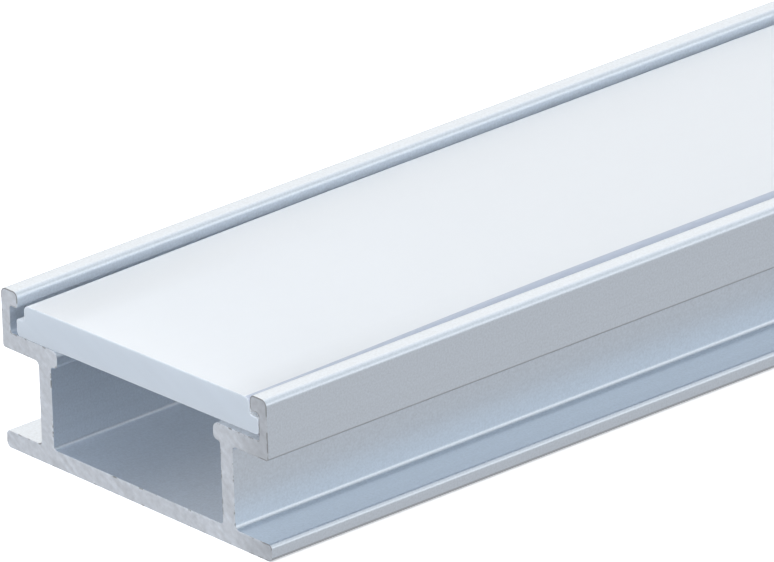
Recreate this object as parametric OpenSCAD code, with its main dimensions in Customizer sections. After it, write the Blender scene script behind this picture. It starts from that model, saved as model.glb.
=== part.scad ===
// Walk-over LED strip profile: an extruded aluminium channel with side flanges,
// closed by a push-in diffuser cover. The bar lies along Y and stands on Z = 0.

/* [Bar] */
// Length of the bar as it is sold
bar_length = 1000; // [250:50:3000]
// Width across the base flanges, which is also the width across the lips
bar_width = 26; // [25.6:0.1:28]
// Height from the underside of the base to the top of the lips
bar_height = 11.2; // [10:0.1:16]

/* [Base and webs] */
// Thickness of the base, which is the floor of the channel and its two flanges
base_t = 1.2; // [1:0.1:2]
// Clear width of the channel between its two webs
channel_w = 16.6; // [14:0.1:17]
// Thickness of each upright web
web_t = 1.2; // [1:0.1:1.4]

/* [Ledges and lips] */
// Depth of the pocket that takes the cover, from the lip tops to the ledges
pocket_depth = 3; // [2.9:0.1:3.6]
// Thickness of each ledge that carries the cover
ledge_t = 1.2; // [1:0.1:1.6]
// Thickness of the lip wall beside the groove
lip_wall_t = 0.8; // [0.7:0.05:0.9]
// Width of the thicker head along the top of each lip
lip_head_w = 1.6; // [1.4:0.05:1.7]
// Height of that head
lip_head_h = 1.1; // [0.8:0.1:1.2]
// Distance by which the rounded inner edge of each ledge stands into the channel
bead_out = 0.65; // [0.65:0.05:0.8]

/* [Diffuser cover] */
// Thickness of the cover
cover_t = 2.35; // [2:0.05:2.6]
// Height of the tongues that run under the lip heads
tongue_h = 1.2; // [0.8:0.1:1.4]
// Sideways play between the cover and each lip
cover_play = 0.35; // [0.1:0.05:0.4]

/* [Radii] */
// Fillet outside each web, on the flange and under the ledge
outer_fillet_r = 0.35; // [0.1:0.05:0.5]
// Fillet inside the channel, along its floor and under the beads
inner_fillet_r = 0.25; // [0.1:0.05:0.25]
// Rounding on top of the bead on each ledge
bead_top_r = 0.5; // [0.2:0.05:0.5]
// Rounding under that bead
bead_low_r = 0.35; // [0.2:0.05:0.35]
// Rounding under the tip of each flange
tip_low_r = 0.4; // [0.1:0.05:0.5]
// Rounding on top of the tip of each flange
tip_top_r = 0.3; // [0.1:0.05:0.4]
// Rounding along the outer top edge of each lip
lip_outer_r = 0.45; // [0.1:0.05:0.5]
// Rounding along the inner top edge of each lip
lip_inner_r = 0.4; // [0.2:0.05:0.45]
// Rounding along the shoulders on top of the cover
shoulder_r = 0.45; // [0.1:0.05:0.6]
// Rounding along the other edges of the cover
cover_r = 0.3; // [0.1:0.05:0.35]

/* [Hidden] */
$fn = 48;

// Length by which joined shapes run into each other
overlap = 0.05;

half_w = bar_width / 2;
web_in = channel_w / 2;
web_out = web_in + web_t;
ledge_top = bar_height - pocket_depth;
ledge_low = ledge_top - ledge_t;
lip_wall_x = half_w - lip_wall_t;
lip_head_x = half_w - lip_head_w;
lip_head_low = bar_height - lip_head_h;

bead_x = web_in - bead_out;

// Small rounding in the corners of the groove and on the lower edge of the head
groove_r = lip_inner_r / 2;

tongue_half_w = lip_wall_x - cover_play;
cover_half_w = lip_head_x - cover_play;

// A square corner at the origin, between +X and +Y, with a round bite taken out.
// Added in an inner corner it is a fillet, and cut from an outer one it rounds it.
module corner(r) {
    difference() {
        translate([-overlap, -overlap])
            square(r + overlap);
        translate([r, r])
            circle(r);
    }
}

// The same corner at a place, turned by a number of quarter turns
module corner_at(x, z, r, quarter) {
    translate([x, z])
        rotate(90 * quarter)
            corner(r);
}

// A rectangle from its lower left to its upper right corner
module block(x_low, z_low, x_high, z_high) {
    translate([x_low, z_low])
        square([x_high - x_low, z_high - z_low]);
}

// Web, ledge and lip of the right-hand side, with fillets in their inner corners
module side_metal() {
    block(web_in, 0, web_out, ledge_top);
    block(bead_x, ledge_low, half_w, ledge_top);
    block(lip_wall_x, ledge_low, half_w, bar_height);
    block(lip_head_x, lip_head_low, half_w, bar_height);
    corner_at(web_in, base_t, inner_fillet_r, 1);
    corner_at(web_in, ledge_low, inner_fillet_r, 2);
    corner_at(web_out, base_t, outer_fillet_r, 0);
    corner_at(web_out, ledge_low, outer_fillet_r, 3);
    corner_at(lip_wall_x, ledge_top, groove_r, 1);
    corner_at(lip_wall_x, lip_head_low, groove_r, 2);
}

// What the roundings take off the right-hand side
module side_roundings() {
    corner_at(half_w, 0, tip_low_r, 1);
    corner_at(half_w, base_t, tip_top_r, 2);
    corner_at(bead_x, ledge_top, bead_top_r, 3);
    corner_at(bead_x, ledge_low, bead_low_r, 0);
    corner_at(half_w, ledge_low, groove_r, 1);
    corner_at(half_w, bar_height, lip_outer_r, 2);
    corner_at(lip_head_x, bar_height, lip_inner_r, 3);
    corner_at(lip_head_x, lip_head_low, groove_r, 0);
}

// Whole section of the aluminium extrusion
module body_section() {
    difference() {
        union() {
            block(-half_w, 0, half_w, base_t);
            side_metal();
            mirror([1, 0]) side_metal();
        }
        side_roundings();
        mirror([1, 0]) side_roundings();
    }
}

// What the roundings take off the right-hand edge of the cover
module cover_roundings() {
    corner_at(tongue_half_w, ledge_top, cover_r, 1);
    corner_at(tongue_half_w, ledge_top + tongue_h, groove_r, 2);
    corner_at(cover_half_w, ledge_top + cover_t, shoulder_r, 2);
}

// Whole section of the diffuser cover, lying on the ledges
module cover_section() {
    difference() {
        union() {
            block(-tongue_half_w, ledge_top, tongue_half_w, ledge_top + tongue_h);
            block(-cover_half_w, ledge_top, cover_half_w, ledge_top + cover_t);
            corner_at(cover_half_w, ledge_top + tongue_h, cover_r, 0);
            corner_at(-cover_half_w, ledge_top + tongue_h, cover_r, 1);
        }
        cover_roundings();
        mirror([1, 0]) cover_roundings();
    }
}

// Stands a section up and draws it out along Y, half to each side of the origin
module bar() {
    translate([0, bar_length / 2, 0])
        rotate([90, 0, 0])
            linear_extrude(height = bar_length)
                children();
}

module profile_body() {
    color([0.72, 0.75, 0.78])
        bar() body_section();
}

module diffuser_cover() {
    color([0.92, 0.95, 0.98])
        bar() cover_section();
}

profile_body();
diffuser_cover();
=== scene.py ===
# %% [markdown]
# # A floor profile for an LED strip
# This lesson finishes one metre of anodised aluminium profile with its opal plastic cover. The real
# bar is an extrusion: hot metal pushed through a die, so every slice along it is the same. The exact
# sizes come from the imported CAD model. It is loaded first, as a fixed frame that is never moved, and
# each piece made here is laid over one CAD part and takes its place in the picture.

# %% Load the frame
import math
import bmesh
import bpy
from mathutils import Matrix, Vector


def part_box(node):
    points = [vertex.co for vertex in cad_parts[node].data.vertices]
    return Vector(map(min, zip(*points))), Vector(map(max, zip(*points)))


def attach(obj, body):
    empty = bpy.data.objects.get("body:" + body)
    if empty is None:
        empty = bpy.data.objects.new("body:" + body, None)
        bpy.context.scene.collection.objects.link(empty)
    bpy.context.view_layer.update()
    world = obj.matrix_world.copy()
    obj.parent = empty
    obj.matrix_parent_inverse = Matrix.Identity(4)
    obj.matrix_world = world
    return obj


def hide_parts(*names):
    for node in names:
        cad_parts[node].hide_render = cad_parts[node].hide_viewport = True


MM = 0.001
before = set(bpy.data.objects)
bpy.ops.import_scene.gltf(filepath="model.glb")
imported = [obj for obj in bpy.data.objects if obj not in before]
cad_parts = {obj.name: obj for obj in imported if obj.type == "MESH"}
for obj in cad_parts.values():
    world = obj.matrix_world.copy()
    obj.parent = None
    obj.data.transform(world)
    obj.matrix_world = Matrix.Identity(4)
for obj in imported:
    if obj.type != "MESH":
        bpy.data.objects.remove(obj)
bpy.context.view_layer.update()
body_low, body_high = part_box("profile_body")
NEAR_END = body_low.y
FAR_END = body_high.y

# %% [markdown]
# ## The camera
# A short bar end looks best through a very long lens from far away, which keeps its long edges
# almost parallel. The camera looks down at the near end from the front right. Its place is worked
# out from a target point, two angles and a distance, so each can be changed on its own. A last
# small turn about the line of sight leans the picture a little.

# %% Camera
CAMERA_AZIMUTH = math.radians(49.766)
CAMERA_ELEVATION = math.radians(23.419)
CAMERA_LEAN = math.radians(-2.068)
CAMERA_DISTANCE = 1466.04 * MM
CAMERA_LENS = 1069.77
CAMERA_TARGET = Vector((6.395 * MM, NEAR_END + 15.959 * MM, 12.527 * MM))

to_camera = Vector((
    math.sin(CAMERA_AZIMUTH) * math.cos(CAMERA_ELEVATION),
    -math.cos(CAMERA_AZIMUTH) * math.cos(CAMERA_ELEVATION),
    math.sin(CAMERA_ELEVATION),
))
lens = bpy.data.cameras.new("long_lens")
lens.lens = CAMERA_LENS
lens.sensor_width = 36
lens.clip_end = 60
camera = bpy.data.objects.new("camera", lens)
camera.location = CAMERA_TARGET + to_camera * CAMERA_DISTANCE
camera.rotation_mode = "QUATERNION"
upright = (-to_camera).to_track_quat("-Z", "Y")
camera.rotation_quaternion = upright @ Matrix.Rotation(CAMERA_LEAN, 3, "Z").to_quaternion()
bpy.context.scene.collection.objects.link(camera)
bpy.context.scene.camera = camera
print("the camera stands", round(CAMERA_DISTANCE, 2), "m from the bar")

# %% [markdown]
# ## Drawing a section
# An extruded bar could be built from boxes joined together, but a die cuts the whole outline at
# once, so the model starts with that outline. Only the right half is written down, as corner points
# in millimetres with the radius of each corner. A mirror gives the left half, a fill closes the
# face, and a vertex bevel rounds each corner with its own radius.

# %% Half outline, mirror and fill
def half_section(bm, corners):
    """A closed flat face from the right half's (x, z, radius) corners, mirrored about x = 0."""
    made = [bm.verts.new((x * MM, NEAR_END, z * MM)) for x, z, radius in corners]
    for first, second in zip(made, made[1:]):
        bm.edges.new((first, second))
    bmesh.ops.mirror(bm, geom=bm.verts[:] + bm.edges[:], axis="X", merge_dist=1e-7)
    bmesh.ops.remove_doubles(bm, verts=bm.verts[:], dist=1e-7)
    bmesh.ops.edgeloop_fill(bm, edges=bm.edges[:])


# %% [markdown]
# A drawing gives every corner as a sharp point, while the die has a radius there. The points stay
# easy to read if they are rounded afterwards. A vertex bevel does that on a flat face: it replaces
# one point with an arc, and a small radius gets as smooth an arc as a large one needs.

# %% Round the corners
def corner_verts(bm, x, z):
    """The left and the right vertex of one named corner."""
    found = []
    for v in bm.verts:
        if abs(abs(v.co.x) - x * MM) < 1e-7 and abs(v.co.z - z * MM) < 1e-7:
            found.append(v)
    return found


def round_corners(bm, corners, step):
    """Gives each corner an arc of its radius, in segments about one step (in mm) long."""
    for x, z, radius in corners:
        if radius > 0:
            segments = max(4, round(radius * math.pi / 2 / step))
            bmesh.ops.bevel(
                bm,
                geom=corner_verts(bm, x, z),
                offset=radius * MM,
                offset_type="OFFSET",
                segments=segments,
                profile=0.5,
                affect="VERTICES",
                material=-1,
            )


# %% [markdown]
# The press pushes metal through the die in one straight line. An extruded face moved by the length
# of the bar is the same thing. Afterwards the normals are made to point outwards all round.

# %% Pull the section along the bar
def extrude_along_bar(bm):
    """Pulls the flat section from the near end to the far end."""
    pulled = bmesh.ops.extrude_face_region(bm, geom=bm.faces[:])
    moved = [g for g in pulled["geom"] if isinstance(g, bmesh.types.BMVert)]
    bmesh.ops.translate(bm, verts=moved, vec=(0, FAR_END - NEAR_END, 0))
    bmesh.ops.recalc_face_normals(bm, faces=bm.faces[:])


# %% [markdown]
# ## The extruded body
# Two flanges lie on the ground and two webs stand on the base between them. Each web carries a ledge
# with a rounded bead on its inner side, where the cover sits. Outside the ledge a thin lip rises
# and turns inwards with a small head, which keeps the cover from lifting out.

# %% Body section
BODY_CORNERS = [
    (0, 0, 0),
    (13.0, 0, 0.4),
    (13.0, 1.2, 0.3),
    (9.5, 1.2, 0.35),
    (9.5, 7.0, 0.35),
    (13.0, 7.0, 0.2),
    (13.0, 11.2, 0.45),
    (11.4, 11.2, 0.4),
    (11.4, 10.1, 0.2),
    (12.2, 10.1, 0.2),
    (12.2, 8.2, 0.2),
    (7.65, 8.2, 0.5),
    (7.65, 7.0, 0.35),
    (8.3, 7.0, 0.25),
    (8.3, 1.2, 0.25),
    (0, 1.2, 0),
]
body_bm = bmesh.new()
half_section(body_bm, BODY_CORNERS)
round_corners(body_bm, BODY_CORNERS, 0.06)
print("corner points after rounding:", len(body_bm.verts))
extrude_along_bar(body_bm)

# %% [markdown]
# ## Sawn ends with a burr
# The bar is cut to length with a saw, which breaks the edge a little and leaves a thin dark burr
# round the outline. A tiny edge bevel is the broken edge. An inset then makes a narrow ring inside
# it. A number is stored on the vertices, 1 on the outline and 0 inside the ring, and the materials
# read it to know where the burr is. A painted image could do the same, but this needs no image.

# %% Break the edge and mark the burr
EDGE_BREAK = 0.03 * MM
BURR_WIDTH = 0.09 * MM
END_MATERIAL = 1


def end_faces(bm):
    """The flat faces of the two cut ends."""
    return [f for f in bm.faces if abs(f.normal.y) > 0.99]


def saw_the_ends(bm):
    """Breaks the end edges, adds the burr ring, stores the burr value and sets the end material."""
    outline = [e for f in end_faces(bm) for e in f.edges]
    bmesh.ops.bevel(
        bm,
        geom=outline,
        offset=EDGE_BREAK,
        offset_type="OFFSET",
        segments=2,
        profile=0.5,
        affect="EDGES",
        material=-1,
    )
    burr = bm.verts.layers.float.new("burr")
    ends = end_faces(bm)
    for f in bm.faces:
        if abs(f.normal.y) > 0.3:
            f.material_index = END_MATERIAL
            for v in f.verts:
                v[burr] = 1.0
    bmesh.ops.inset_region(bm, faces=ends, thickness=BURR_WIDTH, use_even_offset=True)
    for f in ends:
        f.material_index = END_MATERIAL
        for v in f.verts:
            v[burr] = 0.0
    return len(ends)


print("body ends sawn:", saw_the_ends(body_bm))

# %% [markdown]
# Some long rounded edges look darker than the flats beside them: the lower edges of the lips and of
# the flanges, and the right shoulder of the cover, which stands up out of its pocket. The darkness is
# painted shade: on the lower edges it stands for the shaded floor close to the bar that the metal
# would mirror, and on the shoulder for the shade beside the lip. Light alone could darken them, but
# that would change the flats too. A second stored number, 1 on such an edge and 0 elsewhere, lets
# the materials paint shade on just these edges.

# %% Mark the edges for painted shade
def mark_painted_shade_edge(bm, x, z, radius):
    """Stores 1 on the points of one rounded edge, between its two flats, that gets painted shade."""
    layer = bm.verts.layers.float.get("painted_shade_edge") or bm.verts.layers.float.new("painted_shade_edge")
    reach = radius * 0.93 * MM
    for v in bm.verts:
        if abs(v.co.x - x * MM) < reach and abs(v.co.z - z * MM) < reach:
            v[layer] = 1.0


# The lower edges of the lips and flanges are marked for painted shade.
for side in (-1, 1):
    mark_painted_shade_edge(body_bm, side * 13.0, 7.0, 0.2)
    mark_painted_shade_edge(body_bm, side * 13.0, 0.0, 0.3)
print("dark edges marked on the body")

# %% [markdown]
# ## The opal cover
# The cover is a second extrusion, of milky plastic. Its lower part is wider than its upper part, so
# that two tongues reach under the lip heads. It is drawn and pulled in the same way as the body.

# %% Cover section
COVER_R = 0.3
SHOULDER_R = 0.45
COVER_CORNERS = [
    (0, 8.2, 0),
    (11.85, 8.2, COVER_R),
    (11.85, 9.4, 0.2),
    (11.05, 9.4, COVER_R),
    (11.05, 10.55, SHOULDER_R),
    (0, 10.55, 0),
]
cover_bm = bmesh.new()
half_section(cover_bm, COVER_CORNERS)
round_corners(cover_bm, COVER_CORNERS, 0.05)
extrude_along_bar(cover_bm)
print("cover ends sawn:", saw_the_ends(cover_bm))
# The right shoulder is marked for painted shade.
mark_painted_shade_edge(cover_bm, 11.05, 10.55, SHOULDER_R)

# %% [markdown]
# ## A cover that isn't quite pressed home
# On the real bar the cover's near end sits a little askew: it is pushed to the right, and its right
# side stands up from the ledge, by about half a millimetre at most. Further along it is taken to
# lie flat. A straight extrusion has no points between its ends to bend, so rings of edges are cut
# in first. Then every ring is turned about the left foot of the cover and moved sideways.

# %% Cut rings into the cover
RING_PLACES = (2, 5, 9, 14, 20, 26, 32, 38, 44, 50, 60, 80, 110, 140, 170, 200, 240, 280, 320)
for along in RING_PLACES:
    everything = cover_bm.verts[:] + cover_bm.edges[:] + cover_bm.faces[:]
    place = (0, NEAR_END + along * MM, 0)
    bmesh.ops.bisect_plane(cover_bm, geom=everything, dist=1e-8, plane_co=place, plane_no=(0, 1, 0))
print("cover rings cut:", len(RING_PLACES))

# %% [markdown]
# A twist could be had from a modifier, but here the wish is plain: so much tilt and so much shift at
# each place along the bar. A smooth step function gives both, and each point is turned and moved.

# %% Tilt and shift the near end
END_TILT = math.radians(0.90)
MOST_TILT = math.radians(1.30)
SIDE_SHIFT = 0.33 * MM
TILT_FROM = 60
TILT_TO = 320
LEFT_FOOT = Vector((-11.85 * MM, 0, 8.2 * MM))


def ease(value, start, end):
    """0 before start, 1 after end, and a smooth step between them."""
    t = min(1.0, max(0.0, (value - start) / (end - start)))
    return t * t * (3 - 2 * t)


for v in cover_bm.verts:
    along = (v.co.y - NEAR_END) / MM
    tilt = END_TILT + (MOST_TILT - END_TILT) * ease(along, 0, 30)
    tilt = tilt * (1 - ease(along, TILT_FROM, TILT_TO))
    foot_to_point = Vector((v.co.x, 0, v.co.z)) - LEFT_FOOT
    turned = Matrix.Rotation(-tilt, 3, "Y") @ foot_to_point + LEFT_FOOT
    shift = SIDE_SHIFT * (1 - ease(along, 0, 30))
    v.co = Vector((turned.x + shift, v.co.y, turned.z))
highest = max(v.co.z for v in cover_bm.verts)
print("the cover's highest point is at", round(highest / MM, 2), "mm")

# %% [markdown]
# ## Shared effects
# Several finishes here show the same three effects: a fine grain, straight tool marks, and marked
# edges, which are a dark burr and a lighter rim on the cuts, and painted shade on some long edges.
# Each effect is a node group, built once, with its own inputs. A material places the group with its
# own numbers, as a workshop uses one tool at several settings. All of them read Object coordinates,
# in metres, so a pattern keeps its real size and stays fixed to the bar.

# %% Helpers for node groups
def new_group(name, inputs, outputs):
    """An empty shader node group with named sockets. Inputs are (name, kind, value)."""
    group = bpy.data.node_groups.new(name, "ShaderNodeTree")
    for label, kind, value in inputs:
        socket = group.interface.new_socket(name=label, in_out="INPUT", socket_type=kind)
        if value is not None:
            socket.default_value = value
    for label, kind in outputs:
        group.interface.new_socket(name=label, in_out="OUTPUT", socket_type=kind)
    start = group.nodes.new("NodeGroupInput")
    end = group.nodes.new("NodeGroupOutput")
    return group, start, end


def math_node(tree, operation, first, second):
    """One Math node. Each value is a number or an output to link."""
    node = tree.nodes.new("ShaderNodeMath")
    node.operation = operation
    for socket, value in zip(node.inputs, (first, second)):
        if isinstance(value, (int, float)):
            socket.default_value = value
        else:
            tree.links.new(value, socket)
    return node.outputs["Value"]


def noise_node(tree, vector, scale, detail):
    """One noise texture, fed by a vector output and a scale that is a number or an output."""
    node = tree.nodes.new("ShaderNodeTexNoise")
    node.inputs["Detail"].default_value = detail
    tree.links.new(vector, node.inputs["Vector"])
    if isinstance(scale, (int, float)):
        node.inputs["Scale"].default_value = scale
    else:
        tree.links.new(scale, node.inputs["Scale"])
    return node.outputs["Fac"]


# %% [markdown]
# ### Grain
# Before anodising, the bar is etched in a bath, which leaves a satin surface of tiny pits. Die lines
# run along the bar under it. One noise is even in all directions, and a second one is stretched
# along the bar. The group gives a shade near 1 to multiply a colour with, and a height for bump.

# %% Satin grain group
grain_group, start, end = new_group(
    "satin_grain",
    [
        ("Place", "NodeSocketVector", None),
        ("Grains per metre", "NodeSocketFloat", 8000.0),
        ("Contrast", "NodeSocketFloat", 0.1),
        ("Die line contrast", "NodeSocketFloat", 0.05),
    ],
    [("Shade", "NodeSocketFloat"), ("Height", "NodeSocketFloat")],
)
pits = noise_node(grain_group, start.outputs["Place"], start.outputs["Grains per metre"], 2.0)
stretch = grain_group.nodes.new("ShaderNodeVectorMath")
stretch.operation = "MULTIPLY"
stretch.inputs[1].default_value = (1.0, 0.004, 1.0)
grain_group.links.new(start.outputs["Place"], stretch.inputs[0])
die_lines = noise_node(grain_group, stretch.outputs["Vector"], 2600.0, 2.0)
pit_shade = math_node(
    grain_group, "MULTIPLY", math_node(grain_group, "SUBTRACT", pits, 0.5), start.outputs["Contrast"]
)
line_shade = math_node(
    grain_group,
    "MULTIPLY",
    math_node(grain_group, "SUBTRACT", die_lines, 0.5),
    start.outputs["Die line contrast"],
)
both = math_node(grain_group, "ADD", pit_shade, line_shade)
grain_group.links.new(math_node(grain_group, "ADD", both, 1.0), end.inputs["Shade"])
grain_group.links.new(pits, end.inputs["Height"])
print("grain group nodes:", len(grain_group.nodes))

# %% [markdown]
# ### Saw marks
# A saw blade drags straight scratches over the cut. They are a noise squeezed in one direction: the
# place is turned in the plane of the cut, then stretched along the scratch. The same group with
# other numbers gives the fainter marks on the plastic.

# %% Saw marks group
saw_group, start, end = new_group(
    "saw_marks",
    [
        ("Place", "NodeSocketVector", None),
        ("Slant", "NodeSocketFloat", 0.6),
        ("Marks per metre", "NodeSocketFloat", 3000.0),
        ("Contrast", "NodeSocketFloat", 0.2),
    ],
    [("Shade", "NodeSocketFloat"), ("Height", "NodeSocketFloat")],
)
turn = saw_group.nodes.new("ShaderNodeVectorRotate")
turn.rotation_type = "Y_AXIS"
saw_group.links.new(start.outputs["Place"], turn.inputs["Vector"])
saw_group.links.new(start.outputs["Slant"], turn.inputs["Angle"])
squeeze = saw_group.nodes.new("ShaderNodeVectorMath")
squeeze.operation = "MULTIPLY"
squeeze.inputs[1].default_value = (0.07, 1.0, 1.0)
saw_group.links.new(turn.outputs["Vector"], squeeze.inputs[0])
marks = noise_node(saw_group, squeeze.outputs["Vector"], start.outputs["Marks per metre"], 3.0)
mark_shade = math_node(
    saw_group, "MULTIPLY", math_node(saw_group, "SUBTRACT", marks, 0.5), start.outputs["Contrast"]
)
saw_group.links.new(math_node(saw_group, "ADD", mark_shade, 1.0), end.inputs["Shade"])
saw_group.links.new(marks, end.inputs["Height"])
print("saw group nodes:", len(saw_group.nodes))

# %% [markdown]
# ### Worn edges and painted edge shade
# A burr is dark but broken: in some places it is a thick line and in others it is gone. A long
# edge with painted shade uses the same group with little missing. The group multiplies a stored edge
# number by a noise that is sharpened into patches, so each material chooses its edge and how much
# is missing.

# %% Worn and painted shade edge group
edge_group, start, end = new_group(
    "worn_and_painted_shade_edge",
    [
        ("Place", "NodeSocketVector", None),
        ("Edge", "NodeSocketFloat", 0.0),
        ("Patches per metre", "NodeSocketFloat", 900.0),
        ("Missing share", "NodeSocketFloat", 0.5),
    ],
    [("Mask", "NodeSocketFloat")],
)
patches = noise_node(edge_group, start.outputs["Place"], start.outputs["Patches per metre"], 3.0)
sharpen = edge_group.nodes.new("ShaderNodeMapRange")
sharpen.interpolation_type = "SMOOTHSTEP"
missing = start.outputs["Missing share"]
edge_group.links.new(patches, sharpen.inputs["Value"])
edge_group.links.new(missing, sharpen.inputs["From Min"])
edge_group.links.new(math_node(edge_group, "ADD", missing, 0.12), sharpen.inputs["From Max"])
kept = math_node(edge_group, "MULTIPLY", sharpen.outputs["Result"], start.outputs["Edge"])
edge_group.links.new(kept, end.inputs["Mask"])
print("worn edge group nodes:", len(edge_group.nodes))


# %% [markdown]
# ## Materials
# Each finish is one Principled shader. Numbers that are the same everywhere, such as how metallic
# it is, are typed into the shader. Only what changes over the surface comes through nodes.

# %% Helpers for materials
def new_material(name):
    """An empty material: its tree, its shader and its place on the object."""
    material = bpy.data.materials.new(name)
    material.use_nodes = True
    tree = material.node_tree
    tree.nodes.clear()
    out = tree.nodes.new("ShaderNodeOutputMaterial")
    shader = tree.nodes.new("ShaderNodeBsdfPrincipled")
    tree.links.new(shader.outputs["BSDF"], out.inputs["Surface"])
    coordinates = tree.nodes.new("ShaderNodeTexCoord")
    return material, tree, shader, coordinates.outputs["Object"]


def stored_number(tree, name):
    """A number that was stored on the vertices."""
    node = tree.nodes.new("ShaderNodeAttribute")
    node.attribute_name = name
    return node.outputs["Fac"]


def place_group(tree, group, place, values):
    """Puts a node group in a material with its own values."""
    node = tree.nodes.new("ShaderNodeGroup")
    node.node_tree = group
    tree.links.new(place, node.inputs["Place"])
    for name, value in values.items():
        if isinstance(value, (int, float)):
            node.inputs[name].default_value = value
        else:
            tree.links.new(value, node.inputs[name])
    return node


def tinted(tree, colour, shade):
    """A colour multiplied by a shade that is near 1."""
    node = tree.nodes.new("ShaderNodeVectorMath")
    node.operation = "SCALE"
    node.inputs[0].default_value = colour
    tree.links.new(shade, node.inputs["Scale"])
    return node.outputs["Vector"]


def mixed(tree, first, second, mask):
    """A colour that goes from first to second where the mask is 1."""
    node = tree.nodes.new("ShaderNodeMix")
    node.data_type = "RGBA"
    tree.links.new(first, node.inputs["A"])
    node.inputs["B"].default_value = (*second, 1)
    tree.links.new(mask, node.inputs["Factor"])
    return node.outputs["Result"]


def bumped(tree, shader, height, strength, distance):
    """Feeds a height into the shader's normal through a bump node."""
    node = tree.nodes.new("ShaderNodeBump")
    node.inputs["Strength"].default_value = strength
    node.inputs["Distance"].default_value = distance
    tree.links.new(height, node.inputs["Height"])
    tree.links.new(node.outputs["Normal"], shader.inputs["Normal"])


def ranged(tree, value, source, target):
    """A value taken smoothly from the source range to the target range."""
    node = tree.nodes.new("ShaderNodeMapRange")
    node.interpolation_type = "SMOOTHSTEP"
    node.inputs["From Min"].default_value = source[0]
    node.inputs["From Max"].default_value = source[1]
    node.inputs["To Min"].default_value = target[0]
    node.inputs["To Max"].default_value = target[1]
    tree.links.new(value, node.inputs["Value"])
    return node.outputs["Result"]


def roughened(tree, shader, height, low, high):
    """Roughness that swings between two values with a height."""
    tree.links.new(ranged(tree, height, (0.3, 0.7), (low, high)), shader.inputs["Roughness"])


# %% [markdown]
# ### Anodised aluminium
# The clear anodised skin is a satin metal with a cool tint. A mirror-like metal would look like
# chrome, so it is fairly rough, with a faint grain and fainter lines along the bar. Its lower
# edges get painted shade, a darker grey that stands for the shaded floor they would mirror, and the
# edge group finds them by their stored number.

# %% Anodised finish
anodised, tree, shader, place = new_material("anodised_aluminium")
grain = place_group(
    tree, grain_group, place,
    {"Grains per metre": 7000.0, "Contrast": 0.28, "Die line contrast": 0.06},
)
# Painted shade: the marked lower edges are mixed towards a dark grey.
darker = place_group(
    tree, edge_group, place,
    {"Edge": stored_number(tree, "painted_shade_edge"), "Patches per metre": 120.0, "Missing share": 0.2},
)
skin = tinted(tree, (0.72, 0.78, 0.85), grain.outputs["Shade"])
tree.links.new(
    mixed(tree, skin, (0.50, 0.53, 0.56), darker.outputs["Mask"]), shader.inputs["Base Color"]
)
shader.inputs["Metallic"].default_value = 1.0
roughened(tree, shader, grain.outputs["Height"], 0.35, 0.41)
bumped(tree, shader, grain.outputs["Height"], 0.12, 0.00002)
print("anodised nodes:", len(tree.nodes))

# %% [markdown]
# ### Sawn aluminium
# The cut is bare metal, brighter and rougher than the skin, with slanting saw marks over a soft
# mottle. Towards its right side its colour is darker. The edge group darkens the outline: nearly
# whole round the lip heads, and broken into spots elsewhere. The place on the cut decides both,
# through two value ranges.

# %% Sawn metal finish
RIGHT_DARK_RANGE = (8.5 * MM, 12.8 * MM)
RIGHT_DARK_SHADE = 0.80
LIP_HEAD_RANGE = (9.8 * MM, 10.9 * MM)
MISSING_LOW_DOWN = 0.54
MISSING_ON_HEADS = 0.24
sawn, tree, shader, place = new_material("sawn_aluminium")
marks = place_group(
    tree, saw_group, place, {"Slant": -0.58, "Marks per metre": 3600.0, "Contrast": 0.26},
)
mottle = place_group(
    tree, grain_group, place,
    {"Grains per metre": 2100.0, "Contrast": 0.34, "Die line contrast": 0.0},
)
split = tree.nodes.new("ShaderNodeSeparateXYZ")
tree.links.new(place, split.inputs["Vector"])
to_the_right = ranged(tree, split.outputs["X"], RIGHT_DARK_RANGE, (1.0, RIGHT_DARK_SHADE))
broken = ranged(
    tree, split.outputs["Z"], LIP_HEAD_RANGE, (MISSING_LOW_DOWN, MISSING_ON_HEADS)
)
broken = math_node(tree, "MULTIPLY", broken, to_the_right)
burr = place_group(
    tree, edge_group, place,
    {"Edge": stored_number(tree, "burr"), "Patches per metre": 1500.0, "Missing share": broken},
)
cut_shade = math_node(tree, "MULTIPLY", marks.outputs["Shade"], mottle.outputs["Shade"])
cut_shade = math_node(tree, "MULTIPLY", cut_shade, to_the_right)
cut_colour = tinted(tree, (0.78, 0.82, 0.87), cut_shade)
tree.links.new(
    mixed(tree, cut_colour, (0.33, 0.34, 0.35), burr.outputs["Mask"]), shader.inputs["Base Color"]
)
shader.inputs["Metallic"].default_value = 1.0
roughened(tree, shader, marks.outputs["Height"], 0.48, 0.62)
bumped(tree, shader, mottle.outputs["Height"], 0.3, 0.00003)
print("sawn metal nodes:", len(tree.nodes))

# %% [markdown]
# ### Opal plastic
# The cover is a milky plastic. Light goes into it, is scattered and comes out again, which a plain
# white paint wouldn't show. Subsurface scattering does this. Its faces are smooth, with a very
# faint flow from the die. Next to the near cut it is a little greyer. The raised right shoulder
# gets painted shade, a cooler and darker colour for the shade beside the lip.

# %% Opal finish
GREY_END_LENGTH = 22 * MM
GREY_END_SHADE = 0.93
opal, tree, shader, place = new_material("opal_plastic")
flow = place_group(
    tree, grain_group, place,
    {"Grains per metre": 700.0, "Contrast": 0.012, "Die line contrast": 0.012},
)
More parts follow.
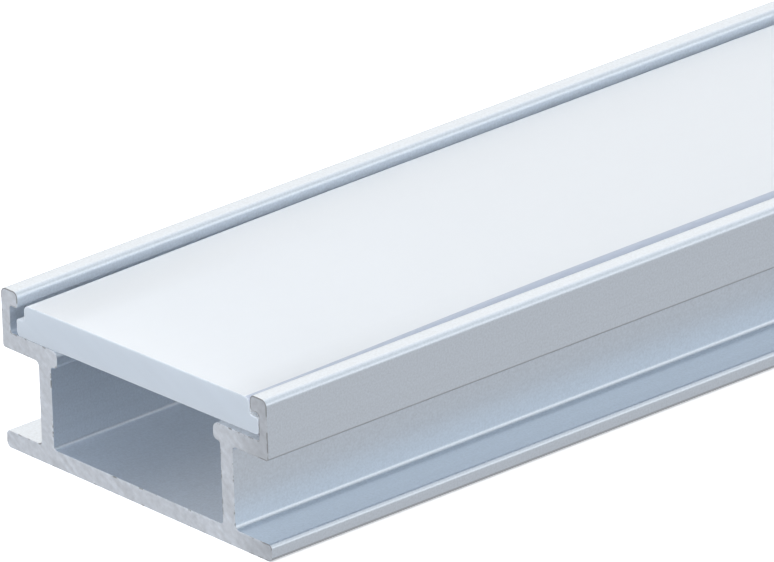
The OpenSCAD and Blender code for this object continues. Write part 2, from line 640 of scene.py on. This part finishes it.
# Painted shade: the marked right shoulder is mixed towards a cool dark blue-grey.
shoulder = place_group(
    tree, edge_group, place,
    {"Edge": stored_number(tree, "painted_shade_edge"), "Patches per metre": 60.0, "Missing share": 0.1},
)
split = tree.nodes.new("ShaderNodeSeparateXYZ")
tree.links.new(place, split.inputs["Vector"])
grey_range = (NEAR_END, NEAR_END + GREY_END_LENGTH)
grey_end = ranged(tree, split.outputs["Y"], grey_range, (GREY_END_SHADE, 1.0))
milk_shade = math_node(tree, "MULTIPLY", flow.outputs["Shade"], grey_end)
milk = tinted(tree, (0.885, 0.95, 1.0), milk_shade)
tree.links.new(
    mixed(tree, milk, (0.48, 0.55, 0.68), shoulder.outputs["Mask"]), shader.inputs["Base Color"]
)
shader.inputs["Subsurface Weight"].default_value = 0.5
shader.inputs["Subsurface Radius"].default_value = (1.0, 1.0, 1.0)
shader.inputs["Subsurface Scale"].default_value = 0.035
roughened(tree, shader, flow.outputs["Height"], 0.33, 0.38)
bumped(tree, shader, flow.outputs["Height"], 0.03, 0.00002)
print("opal nodes:", len(tree.nodes))

# %% [markdown]
# ### Sawn opal
# A sawn plastic face is duller and greyer than the moulded one, because its fine scratches scatter
# light at the surface before it gets in. So it has less scattering inside, a rougher surface and
# the saw marks group at a low contrast. The edge group gives its outline a lighter tone.

# %% Sawn opal finish
opal_cut, tree, shader, place = new_material("sawn_opal")
marks = place_group(
    tree, saw_group, place, {"Slant": -0.45, "Marks per metre": 1300.0, "Contrast": 0.10},
)
lighter_rim = place_group(
    tree, edge_group, place,
    {"Edge": stored_number(tree, "burr"), "Patches per metre": 700.0, "Missing share": 0.35},
)
cut_colour = tinted(tree, (0.55, 0.615, 0.68), marks.outputs["Shade"])
tree.links.new(
    mixed(tree, cut_colour, (0.64, 0.71, 0.78), lighter_rim.outputs["Mask"]), shader.inputs["Base Color"]
)
shader.inputs["Subsurface Weight"].default_value = 0.2
shader.inputs["Subsurface Radius"].default_value = (1.0, 1.0, 1.0)
shader.inputs["Subsurface Scale"].default_value = 0.002
roughened(tree, shader, marks.outputs["Height"], 0.45, 0.6)
bumped(tree, shader, marks.outputs["Height"], 0.15, 0.00003)
print("sawn opal nodes:", len(tree.nodes))


# %% [markdown]
# ## From bmesh to an object
# Flat sides must stay flat while rounded corners look round. Every face is smooth shaded, edges
# sharper than a set angle are marked sharp, and a Weighted Normal modifier lets the wide flat faces
# rule the shading next to them. Each piece stands for one CAD part and rides on the CAD body. The
# extrude operator can number its new faces in another order in each run, while the points keep
# theirs, so the faces are sorted by their points to make every run write the same mesh.

# %% Make the two pieces
SHARP = math.radians(40)
MORE_THAN_ALL_POINTS = 10000


def face_order(f):
    """One number for a face, made from the numbers of its three lowest points."""
    first, second, third = sorted(v.index for v in f.verts)[:3]
    return (first * MORE_THAN_ALL_POINTS + second) * MORE_THAN_ALL_POINTS + third


def as_piece(bm, name, node, materials):
    """Writes the mesh, shades it, and puts it on the CAD body in place of its node."""
    for f in bm.faces:
        f.smooth = True
    for e in bm.edges:
        e.smooth = e.calc_face_angle(0.0) < SHARP
    bm.verts.index_update()
    bm.faces.sort(key=face_order)
    mesh = bpy.data.meshes.new(name)
    bm.to_mesh(mesh)
    bm.free()
    for m in materials:
        mesh.materials.append(m)
    piece = bpy.data.objects.new(name, mesh)
    bpy.context.scene.collection.objects.link(piece)
    even = piece.modifiers.new("flat_sides", "WEIGHTED_NORMAL")
    even.keep_sharp = True
    even.weight = 50
    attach(piece, "root")
    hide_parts(node)
    print(name, "has", len(mesh.polygons), "faces")
    return piece


profile = as_piece(body_bm, "extruded_profile", "profile_body", [anodised, sawn])
cover = as_piece(cover_bm, "opal_cover", "diffuser_cover", [opal, opal_cut])

# %% [markdown]
# ## The floor
# The bar lies on a wide white floor. A white floor as bright as paper would wash the metal out from
# below, so the floor answers two kinds of light path: the camera sees it white, and everything else
# meets a calm grey glow. The Light Path node tells the two apart. The camera also gets a part of
# the glow, the lift, which keeps the bar's shade on the floor faint.

# %% Floor
FLOOR_WHITE = 0.95
FLOOR_LIFT = 0.55
FLOOR_GLOW = (0.56, 0.56, 0.57, 1)
floor_bm = bmesh.new()
bmesh.ops.create_grid(floor_bm, x_segments=1, y_segments=1, size=30)
floor_mesh = bpy.data.meshes.new("floor")
floor_bm.to_mesh(floor_mesh)
floor_bm.free()
pale, tree, shader, place = new_material("pale_floor")
path = tree.nodes.new("ShaderNodeLightPath")
seen = path.outputs["Is Camera Ray"]
tree.links.new(math_node(tree, "MULTIPLY", seen, FLOOR_WHITE), shader.inputs["Base Color"])
lowered = math_node(tree, "MULTIPLY", seen, 1.0 - FLOOR_LIFT)
tree.links.new(math_node(tree, "SUBTRACT", 1.0, lowered), shader.inputs["Emission Strength"])
shader.inputs["Emission Color"].default_value = FLOOR_GLOW
shader.inputs["Roughness"].default_value = 0.9
shader.inputs["Specular IOR Level"].default_value = 0.0
floor_mesh.materials.append(pale)
floor = bpy.data.objects.new("floor", floor_mesh)
bpy.context.scene.collection.objects.link(floor)
print("floor side in m:", 60)

# %% [markdown]
# ## Soft studio light
# Long shiny sections are lit with large soft windows of light, placed so that each flat mirrors one
# of them. Lamps close to one end would leave the other end dark, so the windows are painted on the
# world, infinitely far away, and light the whole metre evenly. A window is strongest where the ray
# points straight at it and fades smoothly round it. One node group makes a window from its
# direction, its tightness and its light, and the world adds several of them to a dim even dome.

# %% Soft window group
window_group, start, end = new_group(
    "soft_window",
    [
        ("Ray", "NodeSocketVector", None),
        ("Towards", "NodeSocketVector", None),
        ("Tightness", "NodeSocketFloat", 9.0),
        ("Light", "NodeSocketVector", None),
    ],
    [("Glow", "NodeSocketVector")],
)
aligned = window_group.nodes.new("ShaderNodeVectorMath")
aligned.operation = "DOT_PRODUCT"
window_group.links.new(start.outputs["Ray"], aligned.inputs[0])
window_group.links.new(start.outputs["Towards"], aligned.inputs[1])
away = math_node(window_group, "SUBTRACT", aligned.outputs["Value"], 1.0)
falling = math_node(window_group, "MULTIPLY", away, start.outputs["Tightness"])
share = math_node(window_group, "EXPONENT", falling, 0.0)
glow = window_group.nodes.new("ShaderNodeVectorMath")
glow.operation = "SCALE"
window_group.links.new(start.outputs["Light"], glow.inputs[0])
window_group.links.new(share, glow.inputs["Scale"])
window_group.links.new(glow.outputs["Vector"], end.inputs["Glow"])
print("window group nodes:", len(window_group.nodes))

# %% [markdown]
# The numbers below are the studio. The window behind the camera is there for the cut end, and the
# one in front, over the bar, for the cover. The flat metal tops mirror the one at the back left,
# and the rounded metal edges mirror the other two at the back.

# %% The studio world
DOME = (0.58, 0.608, 0.612)
WINDOWS = [
    ("at the back left", (-0.62, 0.55, 0.56), (0.69, 0.61, 0.53)),
    ("high at the back", (0.0, 0.59, 0.81), (0.20, 0.20, 0.22)),
    ("low at the back right", (0.84, 0.54, 0.0), (0.9, 0.9, 0.92)),
    ("in front, over the bar", (0.0, -0.35, 0.94), (1.10, 1.12, 1.28)),
    ("behind the camera", (0.25, -0.80, 0.55), (2.15, 2.07, 2.05)),
    ("overhead", (0.0, 0.0, 1.0), (0.38, 0.37, 0.38)),
    ("low on the left", (-1.0, 0.0, 0.05), (0.357, 0.214, 0.158)),
    ("low in front", (0.0, -1.0, 0.05), (0.154, 0.210, 0.375)),
]
world = bpy.data.worlds.new("studio")
world.use_nodes = True
tree = world.node_tree
background = tree.nodes["Background"]
ray = tree.nodes.new("ShaderNodeTexCoord").outputs["Generated"]
total = tree.nodes.new("ShaderNodeCombineXYZ")
for socket, value in zip(total.inputs, DOME):
    socket.default_value = value
light = total.outputs["Vector"]
for name, towards, glow_light in WINDOWS:
    node = tree.nodes.new("ShaderNodeGroup")
    node.node_tree = window_group
    node.label = name
    node.inputs["Towards"].default_value = Vector(towards).normalized()
    node.inputs["Light"].default_value = glow_light
    tree.links.new(ray, node.inputs["Ray"])
    summed = tree.nodes.new("ShaderNodeVectorMath")
    summed.operation = "ADD"
    tree.links.new(light, summed.inputs[0])
    tree.links.new(node.outputs["Glow"], summed.inputs[1])
    light = summed.outputs["Vector"]
print("windows of light:", len(WINDOWS))

# %% [markdown]
# The camera should see plain white behind the bar, so camera rays get white in place of the
# windows. The Standard view keeps the colours as they are, without a film look.

# %% White for the camera
backdrop = tree.nodes.new("ShaderNodeMix")
backdrop.data_type = "RGBA"
backdrop.inputs["B"].default_value = (1, 1, 1, 1)
seen = tree.nodes.new("ShaderNodeLightPath").outputs["Is Camera Ray"]
tree.links.new(seen, backdrop.inputs["Factor"])
tree.links.new(light, backdrop.inputs["A"])
tree.links.new(backdrop.outputs["Result"], background.inputs["Color"])
bpy.context.scene.world = world
bpy.context.scene.view_settings.view_transform = "Standard"
